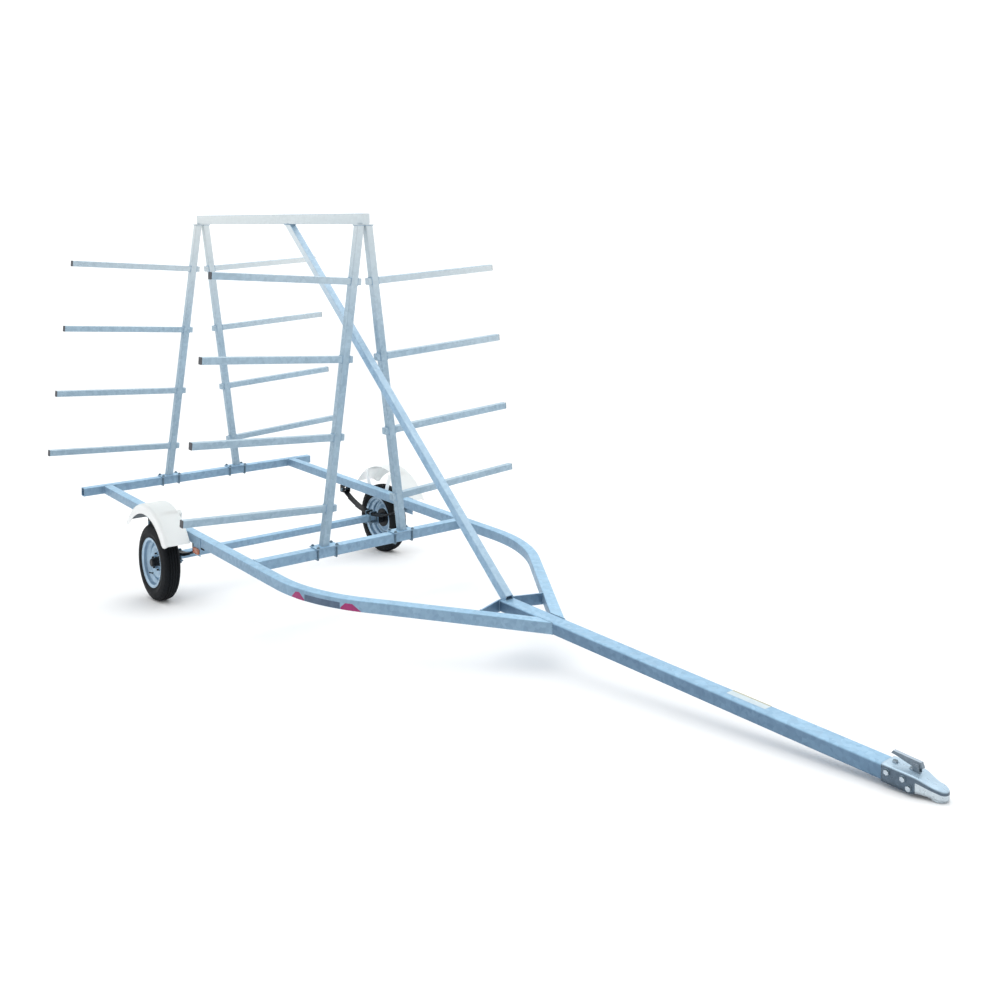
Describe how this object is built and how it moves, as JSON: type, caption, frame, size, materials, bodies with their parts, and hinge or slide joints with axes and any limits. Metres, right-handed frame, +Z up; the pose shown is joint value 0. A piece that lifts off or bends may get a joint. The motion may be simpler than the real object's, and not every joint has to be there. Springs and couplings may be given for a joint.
{
  "type": "kayak trailer",
  "caption": "Galvanised boat trailer with a bent-rail frame, long tongue and ball coupler, and two tall rack frames of sloping arms for carrying kayaks.",
  "frame": {"origin": "on the floor under the middle of the bounding box", "axes": "+X forward towards the coupler, +Y to the trailer's left, +Z up"},
  "size_m": [6.5424, 2.4754, 2.749],
  "materials": {
    "galvanised": "hot-dip galvanised, satin with a faint spangle",
    "zinc": "bright zinc plate",
    "wheel_silver": "silver paint",
    "hub_dark": "black paint",
    "spring_black": "black paint on spring steel",
    "tyre": "black tread rubber",
    "cap_plastic": "moulded black",
    "fender_plastic": "white, semi-gloss",
    "amber_lens": "moulded amber lens"
  },
  "bodies": {
    "trailer": {"apex_plates": "galvanised", "arm_caps": "cap_plastic", "arms_front_left": "galvanised", "arms_front_right": "galvanised", "arms_rear_left": "galvanised", "arms_rear_right": "galvanised", "axle_beam": "galvanised", "axle_clamp_left": "zinc", "axle_clamp_right": "zinc", "brace": "galvanised", "coupler": "zinc", "coupler_bolts": "zinc", "coupler_latch": "zinc", "fender_left": "fender_plastic", "fender_right": "fender_plastic", "fender_straps_left": "galvanised", "fender_straps_right": "galvanised", "foot_bolts": "zinc", "foot_plates": "galvanised", "front_crossbar": "galvanised", "hanger_bolts_left": "zinc", "hanger_bolts_right": "zinc", "leaf_spring_left": "spring_black", "leaf_spring_right": "spring_black", "marker_bracket_left": "galvanised", "marker_bracket_right": "galvanised", "post_front_left": "galvanised", "post_front_right": "galvanised", "post_rear_left": "galvanised", "post_rear_right": "galvanised", "rail_left": "galvanised", "rail_right": "galvanised", "rear_crossbar": "galvanised", "side_marker_left": "amber_lens", "side_marker_right": "amber_lens", "spindle_left": "galvanised", "spindle_right": "galvanised", "spring_hangers_left": "galvanised", "spring_hangers_right": "galvanised", "tongue": "galvanised", "tongue_crossmember": "galvanised", "top_bar": "galvanised"},
    "wheel_right": {"grease_cap_right": "hub_dark", "hub_right": "hub_dark", "lug_nuts_right": "zinc", "rim_right": "wheel_silver", "tyre_right": "tyre"},
    "wheel_left": {"grease_cap_left": "hub_dark", "hub_left": "hub_dark", "lug_nuts_left": "zinc", "rim_left": "wheel_silver", "tyre_left": "tyre"}
  },
  "joints": [
    {"name": "wheel_right_spin", "type": "hinge", "parent": "trailer", "child": "wheel_right", "pos_m": [-1.91368, -0.909, 0.2605], "axis": [0, 1, 0], "continuous": true},
    {"name": "wheel_left_spin", "type": "hinge", "parent": "trailer", "child": "wheel_left", "pos_m": [-1.91368, 0.909, 0.2605], "axis": [0, 1, 0], "continuous": true}
  ]
}
